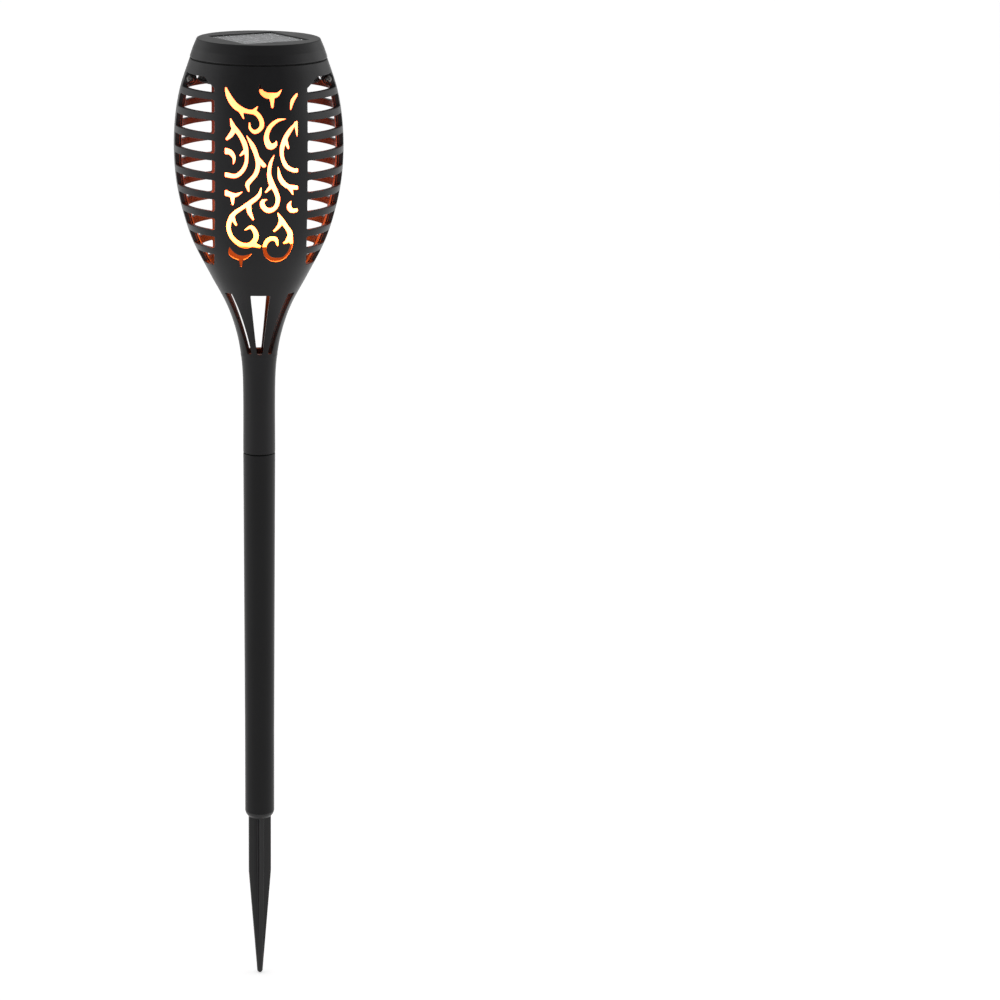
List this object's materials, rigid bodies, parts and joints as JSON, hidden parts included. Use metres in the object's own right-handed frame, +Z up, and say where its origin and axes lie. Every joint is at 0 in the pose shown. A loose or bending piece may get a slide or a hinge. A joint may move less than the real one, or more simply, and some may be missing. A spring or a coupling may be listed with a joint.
{
  "type": "tiki torch",
  "caption": "Solar garden torch: a barrel cage with scroll panels and side slots on a slim pole, a twist-off solar cap holding a frosted flame light, and a cross-bladed ground spike.",
  "frame": {"origin": "on the torch's axis at ground level, where the spike's blades meet the collar below the pole", "axes": "+Z up along the pole, the front scroll panel faces -Y, +X to the right seen from the front"},
  "size_m": [0.083, 0.083, 0.485],
  "materials": {
    "shell_plastic": "satin charcoal moulded ABS",
    "pole_plastic": "satin black moulded ABS",
    "spike_plastic": "satin black moulded ABS",
    "rubber_seal": "matt",
    "screw_steel": "zinc plated",
    "solar_cover": "clear gloss laminate",
    "solar_cell": "silicon with an anti-reflection coat",
    "busbar_tin": "tinned ribbon",
    "board_green": "solder mask over glass fibre",
    "chip_black": "moulded epoxy",
    "ferrite": "ferrite and lacquered copper",
    "can_aluminium": "drawn can with a printed sleeve",
    "switch_plastic": "gloss",
    "button_red": "gloss",
    "collar_plastic": "satin black",
    "diffuser_frost": "frosted, lit from inside",
    "post_white": "satin white",
    "flex_board": "polyimide",
    "led_package": "yellow phosphor",
    "cell_sleeve": "shrink sleeve",
    "spring_steel": "nickel plated",
    "contact_brass": "nickel flash on brass",
    "wire_red": "PVC insulation",
    "wire_black": "PVC insulation",
    "wire_white": "PVC insulation"
  },
  "bodies": {
    "spike": {"ground_spike": "spike_plastic"},
    "pole": {"pole_tube": "pole_plastic"},
    "head": {"front_shell": "shell_plastic", "rear_shell": "shell_plastic", "shell_screws": "screw_steel"},
    "seal": {"seal_ring": "rubber_seal"},
    "cap": {"cap_shell": "shell_plastic", "cap_base": "shell_plastic", "base_screws": "screw_steel", "solar_backing": "board_green", "solar_cells": "solar_cell", "solar_busbars": "busbar_tin", "solar_cover": "solar_cover", "control_board": "board_green", "board_chip": "chip_black", "board_inductor": "ferrite", "board_capacitor": "can_aluminium", "switch_body": "switch_plastic", "diffuser_collar": "collar_plastic", "diffuser": "diffuser_frost", "led_post": "post_white", "post_screws": "screw_steel", "post_plug": "post_white", "led_board": "flex_board", "led_chips": "led_package", "battery": "cell_sleeve", "battery_spring": "spring_steel", "battery_contact": "contact_brass", "panel_wire_red": "wire_red", "panel_wire_black": "wire_black", "battery_wire_red": "wire_red", "battery_wire_black": "wire_black", "led_wires": "wire_white"},
    "button": {"switch_button": "button_red"}
  },
  "joints": [
    {"name": "pole_pull", "type": "slide", "parent": "spike", "child": "pole", "axis": [0, 0, 1], "range_m": [0, 0.028]},
    {"name": "head_pull", "type": "slide", "parent": "pole", "child": "head", "axis": [0, 0, 1], "range_m": [0, 0.025]},
    {"name": "cap_lift", "type": "slide", "parent": "head", "child": "seal", "axis": [0, 0, 1], "range_m": [0, 0.095]},
    {"name": "cap_twist", "type": "hinge", "parent": "seal", "child": "cap", "pos_m": [0, 0, 0.389], "axis": [0, 0, 1], "range_deg": [0, 20]},
    {"name": "switch_press", "type": "slide", "parent": "cap", "child": "button", "axis": [0, 0, 1], "range_m": [0, 0.0011], "stiffness_N_per_m": 300, "springref_m": -0.0015}
  ]
}
